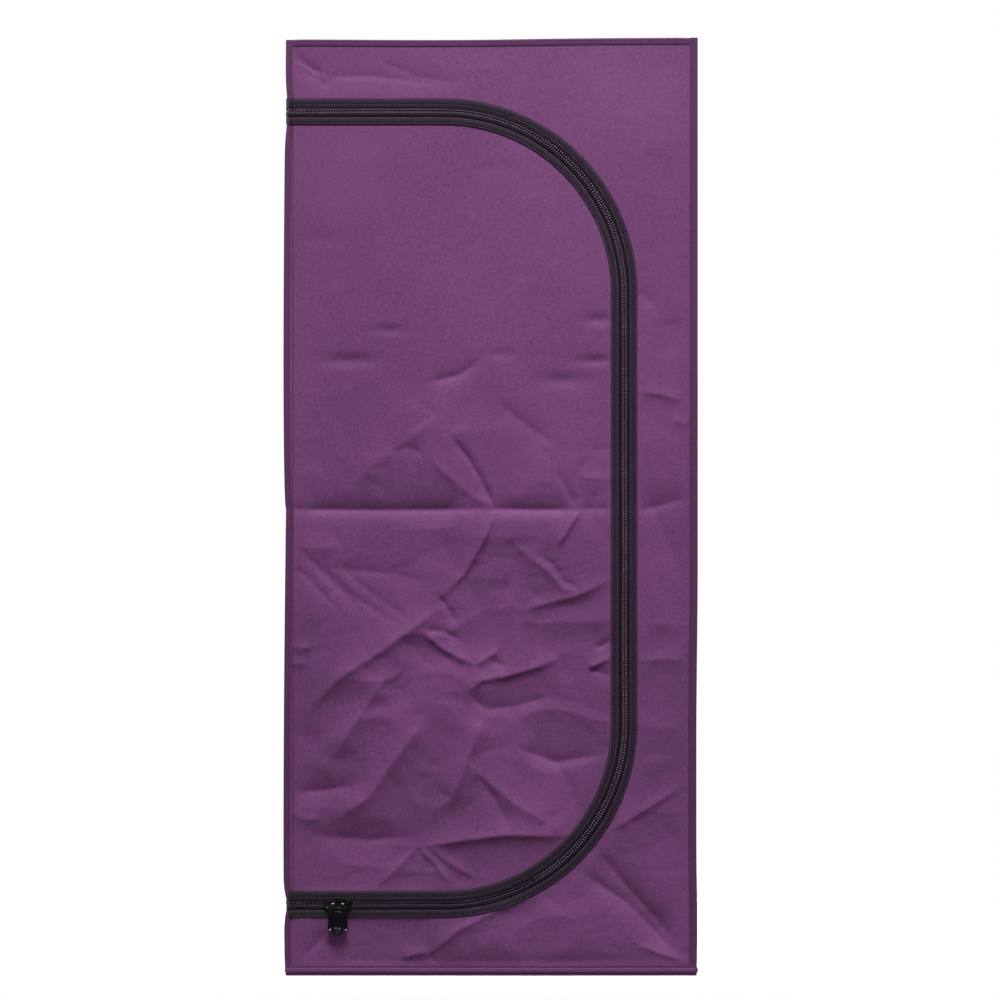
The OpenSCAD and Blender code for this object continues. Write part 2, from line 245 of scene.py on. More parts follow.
# soft dents, most of them in the smooth upper half, in mm: middle (x, z), half length, half height, depth
DENTS = [
    (-197, 1246, 30, 9, 2.4), (-272, 1187, 48, 12, 3.6), (212, 1266, 30, 10, 3.4), (205, 1187, 36, 10, 3.4),
    (141, 1149, 45, 14, 3.2), (20, 1200, 24, 9, 1.8), (-330, 1420, 35, 14, 1.2), (10, 1560, 45, 18, 1),
    (340, 1240, 16, 45, 2), (345, 1540, 14, 50, 1.6),
]


def crease(u, v, points, width, height, lean):
    """One crease along a broken line, sharp across and fading to its ends."""
    u, v = np.broadcast_arrays(np.asarray(u, float), np.asarray(v, float))
    line, reach = np.array(points), 7 * width
    low, high = line.min(axis=0) - reach, line.max(axis=0) + reach
    here = (u > low[0]) & (u < high[0]) & (v > low[1]) & (v < high[1])
    total = np.zeros(u.shape)
    p, q = u[here], v[here]
    best = np.full(p.shape, 1e9)
    upper, along = np.zeros(p.shape), np.zeros(p.shape)
    lengths = [math.dist(a, b) for a, b in zip(points, points[1:])]
    done = 0.0
    for (a, b), length in zip(zip(points, points[1:]), lengths):
        du, dv = (b[0] - a[0]) / length, (b[1] - a[1]) / length
        t = np.clip((p - a[0]) * du + (q - a[1]) * dv, 0, length)
        rp, rq = p - a[0] - t * du, q - a[1] - t * dv
        far = np.hypot(rp, rq)
        nearer = far < best
        best = np.where(nearer, far, best)
        upper = np.where(nearer, np.sign(rq), upper)
        along = np.where(nearer, (done + t) / sum(lengths), along)
        done += length
    flank, soft = width * (1 + lean * upper), 1.6 * MM
    fade = ease(0, 0.18, along) * ease(1, 0.72, along) * 0.75 + 0.25
    total[here] = SHARPNESS * height * fade * np.exp(-(np.hypot(best, soft) - soft) / flank)
    return total


def crumple(u, v, shift):
    """The facets left by folding and packing: broad rounded fields between sharp lines."""
    a, b = turned(u, v, 27 + 40 * shift)
    a = a + 0.030 * noise(u * 9 + shift, v * 9)
    b = b + 0.030 * noise(u * 9, v * 9 + 3.7 + shift)
    broad = np.abs(noise(a * 5.2 + 11.3 * shift, b * 4.1)) * 7.0 * MM
    c, d = turned(a, b, 64)
    middle = -np.abs(noise(c * 11 + 5.1, d * 8.5 + 7 * shift)) * 3.6 * MM
    small = np.abs(noise(a * 23, b * 19 + 2.2 * shift)) * 1.3 * MM
    tiny = np.abs(noise(c * 47 + 1.7, d * 41 + shift)) * 0.45 * MM
    return broad + middle + small + tiny


def sway(z, side):
    """How far the upright edge on side -1 or +1 of the cover stands out from straight, by height.
    The hinge edge bows out low in each half and is pinched in at both ends of the zip."""
    if side > 0:
        return (1.0 + 2.6 * ease(0.45, 0.80, z) + 2.0 * bump(0.10, 0.08, z)) * MM
    bow_size, low_pinch, high_pinch = 12, 5.4, 4.8
    t = np.asarray(z, float) / (HEIGHT / 2) % 1
    bow = bow_size * t ** 0.45 * (1 - t)
    return (bow - low_pinch * bump(ZIP_LOW, 0.026, z) - high_pinch * bump(ZIP_HIGH, 0.045, z)) * MM


def lift(x, y):
    """The cover is pulled up a little at its front right top corner."""
    return 4.4 * MM * ease(-0.05, HALF_W, x) * ease(HALF_D, -HALF_D, y)


def front_relief(x, z):
    """How far the front stands towards the viewer at (x, z)."""
    edge = np.minimum(np.minimum(x + HALF_W, HALF_W - x), np.minimum(z, HEIGHT - z))
    free = ease(0.004, 0.060, edge)
    near_zip = np.abs(zip_distance(x, z))
    at_zip = 1 - 0.65 * (1 - ease(0.016, 0.055, near_zip)) * ease(-0.39, -0.36, x)
    low = 0.16 + 0.84 * ease(1.22, 0.80, z)
    total = crumple(x, z, 0.0) * low - 1.5 * MM * low
    total += 1.2 * MM * noise(x * 2.3 + 4, z * 1.7 + 9)
    total *= free * at_zip
    held = (0.35 + 0.65 * free) * (0.5 + 0.5 * at_zip)
    for width, height, lean, *points in CREASES:
        total = total + crease(x, z, np.array(points) * MM, width * MM, height * MM, lean) * held
    for row in DENTS:
        cx, cz, half_length, half_height, depth = np.array(row) * MM
        total = total - depth * bump(cx, half_length, x) * bump(cz, half_height, z) * at_zip
    # the run that the sliders travel is held flat by its ribbons
    sliding = ease(0.034, 0.020, np.abs(z - ZIP_LOW)) * ease(-0.09, -0.14, x)
    return total * (1 - sliding)


def wall_relief(side, seed):
    """The relief of a side or rear wall: u across it, v its height."""
    def relief(u, v):
        half = HALF_D if side else HALF_W
        edge = np.minimum(half - np.abs(u), np.minimum(v, HEIGHT - v))
        free = ease(0.004, 0.070, edge)
        low = 0.35 + 0.65 * ease(1.5, 0.9, v)
        total = 1.35 * (crumple(u, v, seed) - 1.8 * MM) * low * free
        total -= 7 * MM * (1 - (u / half) ** 2) * np.sin(np.pi * np.clip(v / HEIGHT, 0, 1)) ** 0.5
        folds = [(0.899, -4.4), (0.452, -3.0), (1.352, -2.8)]
        for height, depth in folds:
            bend = 0.3 * half * math.sin(seed * 9)
            line = [(-half, height), (bend, height + 4 * MM), (half, height - 3 * MM)]
            total = total + crease(u, v, line, 0.020, depth * MM, 0.2) * (0.3 + 0.7 * free)
        total = total + crease(u, v, [(0.004, 0.05), (0.0, 0.9), (-0.004, 1.76)], 0.016, -2.6 * MM, 0) * free
        return total + (sway(v, side) if side else 0)
    return relief


def roof_relief(u, v):
    """The relief of the roof, which sags between its rails and has two packing folds."""
    edge = np.minimum(HALF_W - np.abs(u), HALF_D - np.abs(v))
    free = ease(0.004, 0.080, edge)
    total = (crumple(u, v, 0.61) * 0.55 - 1.2 * MM) * free
    total -= 9 * MM * np.clip(1 - (u / HALF_W) ** 2, 0, 1) * np.clip(1 - (v / HALF_D) ** 2, 0, 1)
    total = total + lift(u, v) + crease(u, v, [(-0.39, 0.0), (0.39, 0.004)], 0.020, -3.0 * MM, 0) * free
    return total + crease(u, v, [(0.0, -0.39), (0.003, 0.39)], 0.020, -3.0 * MM, 0) * free


def flat(u, v):
    """No relief at all."""
    return np.zeros(np.shape(u))


# ---------- meshes from arrays ----------

def add_object(name, data):
    """A new object in the scene for its mesh, light or camera."""
    obj = bpy.data.objects.new(name, data)
    bpy.context.scene.collection.objects.link(obj)
    return obj


def build(name, verts, faces, mats, uv=None, face_mats=None):
    """A mesh object from an array of points and an array of equal-sided faces."""
    verts, faces = np.asarray(verts, float).reshape(-1, 3), np.asarray(faces, int)
    count, sides = faces.shape
    mesh = bpy.data.meshes.new(name)
    mesh.vertices.add(len(verts))
    mesh.vertices.foreach_set("co", verts.ravel())
    mesh.loops.add(count * sides)
    mesh.loops.foreach_set("vertex_index", faces.ravel())
    mesh.polygons.add(count)
    mesh.polygons.foreach_set("loop_start", np.arange(0, count * sides, sides))
    if uv is not None:
        layer = mesh.uv_layers.new(name="flat")
        layer.data.foreach_set("uv", np.asarray(uv, float).reshape(-1, 2)[faces.ravel()].ravel())
    for mat in mats if isinstance(mats, (list, tuple)) else [mats]:
        mesh.materials.append(mat)
    if face_mats is not None:
        mesh.polygons.foreach_set("material_index", np.asarray(face_mats, int))
    mesh.polygons.foreach_set("use_smooth", np.ones(count, bool))
    mesh.update()
    mesh.validate()
    return add_object(name, mesh)


def grid_faces(rows, cols, closed=False):
    """Quads of a rows x cols grid of points; closed joins the last column to the first."""
    i = np.arange(rows - 1)[:, None]
    j = np.arange(cols if closed else cols - 1)[None, :]
    k = (j + 1) % cols
    quads = np.stack([i * cols + j, i * cols + k, (i + 1) * cols + k, (i + 1) * cols + j], -1)
    return quads.reshape(-1, 4)


def joined(parts):
    """Several (points, faces, uv) parts as one."""
    verts, faces, uvs, start = [], [], [], 0
    for v, f, uv in parts:
        v = np.asarray(v, float).reshape(-1, 3)
        verts.append(v)
        faces.append(np.asarray(f, int) + start)
        uvs.append(np.asarray(uv, float).reshape(-1, 2))
        start += len(v)
    return np.concatenate(verts), np.concatenate(faces), np.concatenate(uvs)


def girth_uv(t, profile):
    """UVs in metres of a tape: its length t, and the way round its cross-section."""
    girth = np.concatenate([[0], np.cumsum(np.hypot(*np.diff(profile, axis=0).T))])
    return np.stack(np.broadcast_arrays(t[:, None], girth[None]), -1)


def repeated(one, count, points_each):
    """The faces of count copies of a small part, each with points_each points."""
    return (one[None] + (np.arange(count) * points_each)[:, None, None]).reshape(-1, 4)


def thicken(obj, thickness):
    """The sheet's thickness, added on its inner side, whose faces take the second material."""
    solid = obj.modifiers.new("thickness", "SOLIDIFY")
    solid.thickness, solid.offset = thickness, -1
    solid.material_offset, solid.material_offset_rim = 1, 0


# ---------- materials ----------

def srgb(r, g, b):
    """A colour given as 0 to 255 display values."""
    parts = [c / 255 for c in (r, g, b)]
    return tuple(c / 12.92 if c <= 0.04045 else ((c + 0.055) / 1.055) ** 2.4 for c in parts) + (1.0,)


def add_node(tree, kind, inputs=(), **settings):
    """A shader node. An input given as another node's socket is linked, any other is set."""
    made = tree.nodes.new("ShaderNode" + kind)
    for key, value in settings.items():
        setattr(made, key, value)
    for key, value in dict(inputs).items():
        if isinstance(value, bpy.types.NodeSocket):
            tree.links.new(value, made.inputs[key])
        else:
            made.inputs[key].default_value = value
    return made


class Maker:
    """A material's node tree, with short ways to add nodes and links."""

    def __init__(self, name, **sockets):
        self.mat = bpy.data.materials.new(name)
        self.mat.use_nodes = True
        self.tree = self.mat.node_tree
        self.shader = self.tree.nodes["Principled BSDF"]
        for socket, value in sockets.items():
            self.shader.inputs[socket.replace("_", " ")].default_value = value
        self.coords = self.tree.nodes.new("ShaderNodeTexCoord")

    def node(self, kind, inputs=(), **settings):
        return add_node(self.tree, kind, inputs, **settings)

    def noise(self, scale, detail=2.0):
        inputs = {"Vector": self.coords.outputs["Object"], "Scale": scale, "Detail": detail}
        return self.node("TexNoise", inputs).outputs["Fac"]

    def wave(self, pitch, direction, distortion=0.0):
        """Bands with the given pitch in metres."""
        inputs = {"Vector": self.coords.outputs["UV"], "Scale": math.pi / (10 * pitch),
                  "Distortion": distortion}
        return self.node("TexWave", inputs, bands_direction=direction).outputs["Fac"]

    def math(self, operation, a, b):
        return self.node("Math", {0: a, 1: b}, operation=operation).outputs[0]

    def total(self, a, share_a, b, share_b):
        """Two values added in the given shares."""
        return self.math("ADD", self.math("MULTIPLY", a, share_a), self.math("MULTIPLY", b, share_b))

    def spread(self, value, low, high):
        """A 0 to 1 value, stretched to run from low to high."""
        return self.node("MapRange", {"Value": value, "To Min": low, "To Max": high}).outputs["Result"]

    def mix(self, factor, a, b):
        """A colour between a and b."""
        return self.node("Mix", {0: factor, 6: a, 7: b}, data_type="RGBA").outputs[2]

    def set(self, socket, value):
        self.tree.links.new(value, self.shader.inputs[socket])

    def relief(self, height, distance, strength):
        normal = self.node("Bump", {"Height": height, "Distance": distance, "Strength": strength})
        self.set("Normal", normal.outputs["Normal"])


def woven(name, colour, dark, pitch, depth, roughness):
    """Plain-woven fabric: crossed threads with painted shade between them, slubs, and a slow drift of tone.
    """
    m = Maker(name, Specular_IOR_Level=0.16)
    warp, weft = m.wave(pitch, "X", distortion=0.6), m.wave(pitch, "Y", distortion=0.6)
    weave = m.math("MULTIPLY", warp, weft)
    grain = m.noise(260, 3.0)
    drift = m.noise(3.2, 2.0)
    tone = m.total(grain, 0.62, drift, 0.38)
    tone = m.node("MapRange", {"Value": tone, "From Min": 0.32, "From Max": 0.68}).outputs["Result"]
    base = m.mix(tone, dark, colour)
    # painted shade: the colour darkens between the threads, where the weave's relief is low
    m.set("Base Color", m.mix(m.spread(weave, 0.16, 0.0), base, tuple(c * 0.45 for c in dark[:3]) + (1,)))
    m.set("Roughness", m.spread(m.noise(38, 2.0), roughness - 0.07, roughness + 0.08))
    fine = m.total(weave, 0.7, grain, 0.6)
    m.relief(fine, depth, 0.55)
    return m.mat


def ribbed(name, colour, dark, pitch, depth, roughness):
    """Grosgrain ribbon or webbing: ribs across its length, with painted shade in the grooves between them."""
    m = Maker(name, Specular_IOR_Level=0.16)
    rib = m.wave(pitch, "X", distortion=0.4)
    thread = m.wave(pitch * 0.55, "Y", distortion=0.8)
    grain = m.noise(420, 2.0)
    # partly painted shade: the grain share of the tone varies at random, and the rib share darkens the
    # grooves that the relief sinks
    tone = m.total(rib, 0.55, grain, 0.45)
    m.set("Base Color", m.mix(tone, dark, colour))
    m.set("Roughness", m.spread(grain, roughness - 0.06, roughness + 0.10))
    height = m.math("ADD", rib, m.math("MULTIPLY", thread, 0.4))
    m.relief(height, depth, 0.7)
    return m.mat


def moulded(name, colour, dark, roughness, scale, depth, coat=0.0, metallic=0.0, gloss=0.5):
    """Moulded plastic, rubber or cast metal: fine texture, and finger-worn tone."""
    m = Maker(name, Metallic=metallic, Coat_Weight=coat, Coat_Roughness=0.08, Specular_IOR_Level=gloss)
    grain, patch = m.noise(scale, 3.0), m.noise(18, 2.0)
    m.set("Base Color", m.mix(m.spread(patch, 0.1, 0.9), dark, colour))
    m.set("Roughness", m.spread(grain, roughness - 0.05, roughness + 0.07))
    m.relief(grain, depth, 0.5)
    return m.mat


def painted(name, colour, dark, roughness):
    """Powder-coated steel: orange-peel surface and slightly rubbed tone."""
    m = Maker(name, Coat_Weight=0.25, Coat_Roughness=0.25)
    peel, rub = m.noise(520, 2.0), m.noise(24, 3.0)
    m.set("Base Color", m.mix(m.spread(rub, 0.2, 1.0), dark, colour))
    m.set("Roughness", m.spread(rub, roughness - 0.06, roughness + 0.10))
    m.relief(peel, 0.00008, 0.4)
    return m.mat


def silvered(name):
    """The laminated lining: a thin metallised film over a quilted backing."""
    m = Maker(name, Metallic=0.55, Specular_IOR_Level=0.5)
    film, wrinkle = m.noise(90, 4.0), m.noise(14, 3.0)
    m.set("Base Color", m.mix(m.spread(film, 0.0, 1.0), (0.42, 0.43, 0.45, 1), (0.62, 0.63, 0.65, 1)))
    m.set("Roughness", m.spread(wrinkle, 0.30, 0.52))
    cross = m.math("MAXIMUM", m.wave(0.030, "DIAGONAL"), m.wave(0.012, "X"))
    height = m.total(film, 0.5, cross, 0.25)
    m.relief(height, 0.0012, 0.45)
    return m.mat


COVER = woven("cover_fabric", srgb(131, 77, 130), srgb(103, 58, 103), 0.0011, 0.00026, 0.66)
BINDING = ribbed("binding_tape", srgb(104, 58, 104), srgb(76, 41, 78), 0.0032, 0.0003, 0.66)
FOOT = ribbed("foot_tape", srgb(114, 66, 114), srgb(88, 48, 90), 0.0013, 0.00018, 0.66)
LINING = silvered("lining_film")
FLOOR_CLOTH = woven("floor_fabric", srgb(132, 134, 138), srgb(110, 112, 116), 0.0016, 0.0003, 0.7)
RIBBON = ribbed("zip_ribbon", srgb(58, 43, 61), srgb(20, 14, 22), 0.0040, 0.0006, 0.66)
RIBBON_FADED = ribbed("zip_ribbon_faded", srgb(52, 54, 53), srgb(22, 26, 25), 0.0040, 0.0006, 0.66)
ZIP_CLOTH = ribbed("zip_cloth", srgb(32, 22, 35), srgb(14, 9, 16), 0.0012, 0.00022, 0.62)
# The zip coil as two copies of one colour: the darker one is painted shade for the lower run, and the paler
# one carries painted highlights for the rest.
COIL_LOW_SHADED = moulded("zip_coil_low_shaded", srgb(86, 66, 92), srgb(58, 42, 64), 0.26, 600, 0.00004)
COIL = moulded("zip_coil", srgb(134, 110, 140), srgb(92, 74, 98), 0.24, 600, 0.00004)
THREAD_DARK = moulded("thread_dark", srgb(116, 94, 118), srgb(84, 66, 88), 0.5, 900, 0.0001)
THREAD_PURPLE = moulded("thread_purple", srgb(66, 35, 69), srgb(50, 26, 53), 0.6, 900, 0.0001)
# black enamel whose slight purple tint is a painted reflection of the cover fabric
ENAMEL = moulded("black_enamel_reflection_tint", srgb(16, 9, 17), srgb(8, 5, 9), 0.16, 240, 0.00003, coat=0.6, gloss=0.25)
BOSS = moulded("boss_enamel", srgb(40, 30, 46), srgb(28, 20, 33), 0.34, 240, 0.00003)
STOP = moulded("stop_plastic", srgb(50, 39, 54), srgb(34, 26, 38), 0.5, 300, 0.00005)
# partly real pale metal, brightened to near white as a painted highlight on the rivet heads
RIVET = moulded("rivet_metal_painted_highlight", srgb(205, 205, 208), srgb(160, 160, 164), 0.25, 400, 0.00003, metallic=0.3)
TUBE = painted("tube_paint", srgb(222, 223, 224), srgb(196, 198, 200), 0.35)
JOINT = moulded("joint_plastic", srgb(104, 106, 110), srgb(82, 84, 88), 0.5, 260, 0.0001)
PORT = moulded("port_plastic", srgb(70, 71, 74), srgb(50, 51, 54), 0.42, 260, 0.00008)
RUBBER = moulded("port_rubber", srgb(32, 32, 33), srgb(20, 20, 21), 0.75, 350, 0.0001)


# ---------- fabric panels ----------

X, Y, Z = np.eye(3)
# each face of the cover: directions across and up it, outward normal, and distance from the middle or floor
FACES = {
    "front": (X, Z, -Y, SKIN_D), "rear": (-X, Z, Y, SKIN_D),
    "left": (-Y, Z, -X, SKIN_W), "right": (Y, Z, X, SKIN_W),
    "roof": (X, Y, Z, SKIN_H), "floor": (X, -Y, -Z, 0.0),
}


def on_face(face, u, v, out):
    """Points at (u, v) on a face, standing out from its skin."""
    across, up, normal, distance = FACES[face]
    u, v, out = np.broadcast_arrays(u, v, out)
    return u[..., None] * across + v[..., None] * up + (distance + out)[..., None] * normal


def even(low, high, cell):
    """Evenly spaced values from low to high, about a cell apart."""
    return np.linspace(low, high, max(2, int(round((high - low) / cell)) + 1))


def panel(name, face, u_range, v_range, relief, cell, mats, keep):
    """A grid over a face, moved by its relief. keep(u, v) is the signed room inside the cut."""
    u, v = np.meshgrid(u_range, v_range)
    faces = grid_faces(len(v_range), len(u_range))
    if keep is not None:
        room, step = keep(u, v), 0.2 * MM
        slope_u = (keep(u + step, v) - room) / step
        slope_v = (keep(u, v + step) - room) / step
        close = (np.abs(room) < 0.62 * cell) & (u > u_range[0] + MM)
        u, v = u - np.where(close, room * slope_u, 0), v - np.where(close, room * slope_v, 0)
        inside = (keep(u, v) > -0.05 * MM).ravel()
        faces = faces[inside[faces].all(axis=1)]
    points = on_face(face, u, v, relief(u, v)).reshape(-1, 3)
    uv = np.stack([u, v], -1).reshape(-1, 2)
    used, faces = np.unique(faces, return_inverse=True)
    faces = faces.reshape(-1, 4)
    return build(name, points[used], faces, mats, uv[used])


def beyond_door(x, z):
    """Positive on the fixed front, outside the cut under the zip or left of the hinge seam."""
    return np.where(x < HINGE_X + 0.01 * MM, 1.0, zip_distance(x, z) - CUT_BACK)


def within_door(x, z):
    """Positive on the door, inside the cut under the zip."""
    return -CUT_BACK - zip_distance(x, z)


def port_distance(u, v):
    """Distance from the steam inlet; the rear wall's u runs the other way from X."""
    return np.hypot(u + PORT_X, v - PORT_Z)


def make_panels():
    """The cloth panels, by face, each in place of its CAD node."""
    strip = even(-SKIN_W, HINGE_X, FINE)
    across = np.concatenate([strip[:-1], even(HINGE_X, SKIN_W, FINE)])
    inner_d, inner_w = SKIN_D - PANEL_T, SKIN_W - PANEL_T
    wide, deep, high = (even(a, b, COARSE) for a, b in ((-SKIN_W, SKIN_W), (-SKIN_D, SKIN_D), (0, SKIN_H)))
    side_u, floor_u = even(-inner_d, inner_d, COARSE), even(-inner_w, inner_w, BROAD)
    rear_relief = wall_relief(0, 1.29)

    def rear(u, v):
        """The rear wall, held flat about its inlet."""
        return rear_relief(u, v) * ease(0.045, 0.13, port_distance(u, v))

    rows = (
        ("front", "front", across, even(0.0, SKIN_H, FINE), front_relief, FINE, beyond_door),
        ("door", "front", even(HINGE_X + GAP, ZIP_X - CUT_BACK, FINE),
         even(ZIP_LOW + CUT_BACK, ZIP_HIGH - CUT_BACK, FINE), front_relief, FINE, within_door),
        ("left", "left", side_u, high, wall_relief(-1, 0.37), COARSE, None),
        ("right", "right", side_u, high, wall_relief(1, 0.83), COARSE, None),
        ("rear", "rear", wide, high, rear, COARSE, lambda u, v: port_distance(u, v) - PORT_HOLE),
        ("roof", "roof", wide, deep, roof_relief, COARSE, None),
        ("floor", "floor", floor_u, floor_u, flat, BROAD, None))
    made = {}
    for name, face, u_range, v_range, relief, cell, keep in rows:
        mats = [FLOOR_CLOTH, FLOOR_CLOTH] if name == "floor" else [COVER, LINING]
        cloth = panel(name + "_cloth", face, u_range, v_range, relief, cell, mats, keep)
        thicken(cloth, PANEL_T)
        if name != "door":
            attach(cloth, "cabin")
        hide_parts(name + "_panel")
        made[name] = cloth
    return made


cloths = make_panels()


# ---------- edge bindings ----------

STITCH_PITCH, STITCH_LENGTH, STITCH_INSET = 4.6 * MM, 3.0 * MM, 2.6 * MM
SEAM_END = 8 * MM

def tape_profile(width_a, width_b):
    """Cross-section of a tape folded round an outside edge, as offsets (a, b) along the two normals:
    a rolled edge, a dip at each row of stitches, and thin free borders."""
    a, b, thick = width_a / MM, width_b / MM, BIND_T / MM
    roll, dip, bulge = 3.4, 0.45, 0.75

    def flank(width):
        """From the free border up to the roll, in mm: (distance in from the edge, stand-out)."""
        return [(width, -thick), (width, -0.3), (width - 0.5, 0.15), (width - 1.6, 0.2), (width - 2.6, -dip),
                (width - 3.6, 0.25), (0.5 * width, 0.25), (roll + 1.6, -0.15), (roll, 0.55)]

    side_a = [(out, -into) for into, out in flank(a)]
    side_b = [(-into, out) for into, out in reversed(flank(b))]
    r = roll + bulge
    turn = np.linspace(0.12, math.pi / 2 - 0.12, 6)
    bend = [(r * math.cos(t) - roll, r * math.sin(t) - roll) for t in turn]
    under = [(-b + 0.2, -thick), (-thick, -thick), (-thick, -a + 0.2)]
    return np.array(side_a + bend + side_b + under) * MM


def sewn_along(t, line):
    """Where the stitches of a tape sit along its line."""
    at = np.arange(t[0] + SEAM_END, t[-1] - SEAM_END, STITCH_PITCH)
    return np.stack([np.interp(at, t, line[:, k]) for k in range(3)], -1)


def edge_tape(t, along, normal_a, corner_a, normal_b, corner_b, out_a, out_b, width_a, width_b):
    """One folded tape and its stitches, as two parts. Its line is where both faces of the edge meet,
    moved by the relief of each."""
    line = t[:, None] * along
    line = line + (corner_a + out_a)[:, None] * normal_a + (corner_b + out_b)[:, None] * normal_b
    profile = tape_profile(width_a, width_b)
    offsets = profile[:, :1] * normal_a + profile[:, 1:] * normal_b
    points = line[:, None, :] + offsets[None]
    tape = (points, grid_faces(len(t), len(profile), closed=True), girth_uv(t, profile))
    sewn = []
    mid = sewn_along(t, line)
    for face, cross, width in ((normal_a, normal_b, width_a), (normal_b, normal_a, width_b)):
        centre = mid - cross * (width - STITCH_INSET) + face * (-0.15 * MM)
        sewn.append(stitches(centre, along, face))
    return tape, sewn


def stitches(centre, along, up, length=STITCH_LENGTH, wide=1.4 * MM, tall=0.5 * MM):
    """Short rounded threads at the given centres, each along its own direction."""
    along, up = np.broadcast_to(along, centre.shape), np.broadcast_to(up, centre.shape)
    across = np.cross(up, along)
    rings = []
    for t, size in ((-0.5, 0.35), (-0.3, 1.0), (0.3, 1.0), (0.5, 0.35)):
        ring = [centre + along * (t * length) + across * (wide / 2 * size * a) + up * (tall * size * b)
                for a, b in ((-1, -0.4), (-0.6, 0.7), (0.6, 0.7), (1, -0.4))]
        rings.append(np.stack(ring, 1))
    points = np.stack(rings, 1)
    one = np.concatenate([grid_faces(4, 4, closed=True), np.array([[3, 2, 1, 0], [12, 13, 14, 15]])])
    return points.reshape(-1, 3), repeated(one, len(centre), 16), np.zeros((len(centre) * 16, 2))


def front_edge(x, z):
    """Relief of the front at its border, a little damped where the tubes back it."""
    return np.clip(front_relief(x, z), -1.2 * MM, 3 * MM)


def make_bindings():
    """One object per CAD binding: tape and thread together."""
    upright, level = even(0, HEIGHT, 5 * MM), even(-HALF_W, HALF_W, 5 * MM)
    depth = even(-FRONT_IN, FRONT_IN, 6 * MM)
    ground, top = np.zeros(len(level)), np.full(len(level), HEIGHT)
    groups = {}
    for name, facing, relief in (("front", -Y, front_edge), ("rear", Y, flat)):
        parts = []
        end = HALF_D * facing[1]
        for side in (-1, 1):
            out = sway(upright, side)
            face_out = relief(np.full(len(upright), side * (HALF_W - BIND_W / 2)), upright)
            reach = upright * (1 + lift(side * HALF_W, end) / HEIGHT)
            wide = BIND_W + (2.6 * MM if side > 0 else 0)
            parts.append(edge_tape(reach, Z, facing, HALF_D, side * X, HALF_W, face_out, out, wide, BIND_W))
        face_top = relief(level, top - BIND_W / 2) - 0.35 * MM
        tuck = 1.0 * MM * ease(HALF_W - 0.03, HALF_W, np.abs(level))
        wave = 0.5 * MM * np.sin(level * 13) + lift(level, end)
        parts.append(edge_tape(level, X, facing, HALF_D, Z, HEIGHT, face_top - tuck, wave - tuck,
                               BIND_W, BIND_W))
        lip = 1.6 * MM + 0.7 * MM * np.sin(level * 9 + 1) + relief(level, ground + BASE_BIND)
        parts.append(foot_tape(level, X, facing, HALF_D, lip))
        groups[name + "_binding"] = parts
    for name, side in (("left", -1), ("right", 1)):
        quiet = np.zeros(len(depth))
        groups[f"roof_{name}_binding"] = [edge_tape(
            depth, Y, side * X, HALF_W, Z, HEIGHT, quiet + sway(quiet + HEIGHT, side) - 0.3 * MM,
            lift(side * HALF_W, depth), BIND_W, BIND_W)]
        lip = 1.2 * MM + 0.6 * MM * np.sin(depth * 8) + sway(quiet, side)
        groups[f"base_{name}_binding"] = [foot_tape(depth, Y, side * X, HALF_W, lip)]
    for node, parts in groups.items():
        verts, faces, uv = joined([p[0] for p in parts])
        foot = len(parts[-1][0][1]) if not node.startswith("roof") else 0
        is_foot = np.arange(len(faces)) >= len(faces) - foot
        tape = build(node + "_tape", verts, faces, [BINDING, FOOT], uv, is_foot)
        sewn = joined([s for p in parts for s in p[1]])
        thread = build(node + "_thread", sewn[0], sewn[1], THREAD_PURPLE)
        for piece in (tape, thread):
            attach(piece, "cabin")
        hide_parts(node)


def foot_tape(t, along, facing, distance, out):
    """The wider tape round the foot: a soft upper border, a padded lip and a tucked lower edge."""
    h, thick = BASE_BIND / MM, BIND_T / MM
    profile = MM * np.array([
        (-thick, h), (-0.2, h), (0.3, h - 0.6), (0.2, h - 1.4), (-1.3, h - 2.6), (0.6, h - 3.8),
        (1.7, 0.66 * h), (2.3, 0.52 * h), (2.2, 0.38 * h), (1.3, 0.26 * h), (-0.5, 0.19 * h),
        (0.2, 0.13 * h), (0.3, 0.06 * h), (-0.6, 0.2), (-thick, 0.1)])
    line = t[:, None] * along + (distance + out)[:, None] * facing
    points = line[:, None, :] + profile[None, :, :1] * facing + profile[None, :, 1:] * Z
    tape = (points, grid_faces(len(t), len(profile), closed=True), girth_uv(t, profile))
    mid = sewn_along(t, line) + Z * (BASE_BIND - STITCH_INSET) - facing * 0.4 * MM
    return tape, [stitches(mid, along, facing)]


make_bindings()


# ---------- zip ----------

# half cross-section of one side of the zip, from the centre line outwards: (distance, height)
TAPE_SIDE = [(0.5, 0.1), (0.5, 1.3), (5.4, 1.4), (6.2, 2.5), (7.6, 2.9), (9.0, 2.5), (9.9, 1.0), (10.2, 0.5),
             (10.6, 1.5), (11.3, 1.9), (12.3, 1.35), (13.3, 1.95), (18.0, 2.05), (22.2, 1.95), (23.2, 1.35),
             (24.2, 1.85), (25.2, 1.6), (25.5, 0.8), (25.5, 0.1)]
STITCH_ROWS = (12.3, 23.2)
OUTER_RIBBON = 10.2 * MM
COIL_PITCH = 5.0 * MM
COIL_START = 8 * MM
COIL_PAST_LOW, COIL_PAST_HIGH, TAPE_PAST = 12.2 * MM, 12 * MM, 12.4 * MM
FADED_FROM, FADED_TO = -20 * MM, 84 * MM


def coil_drift(s):
    """How far the coil wanders off the middle of its ribbons."""
    right_run = ease(RUN + 0.5 * ARC, RUN + ARC, s) * ease(RUN + ARC + RISE, RUN + ARC + 0.7 * RISE, s)
    return 0.9 * MM * right_run + 0.35 * MM * np.sin(s * 17)


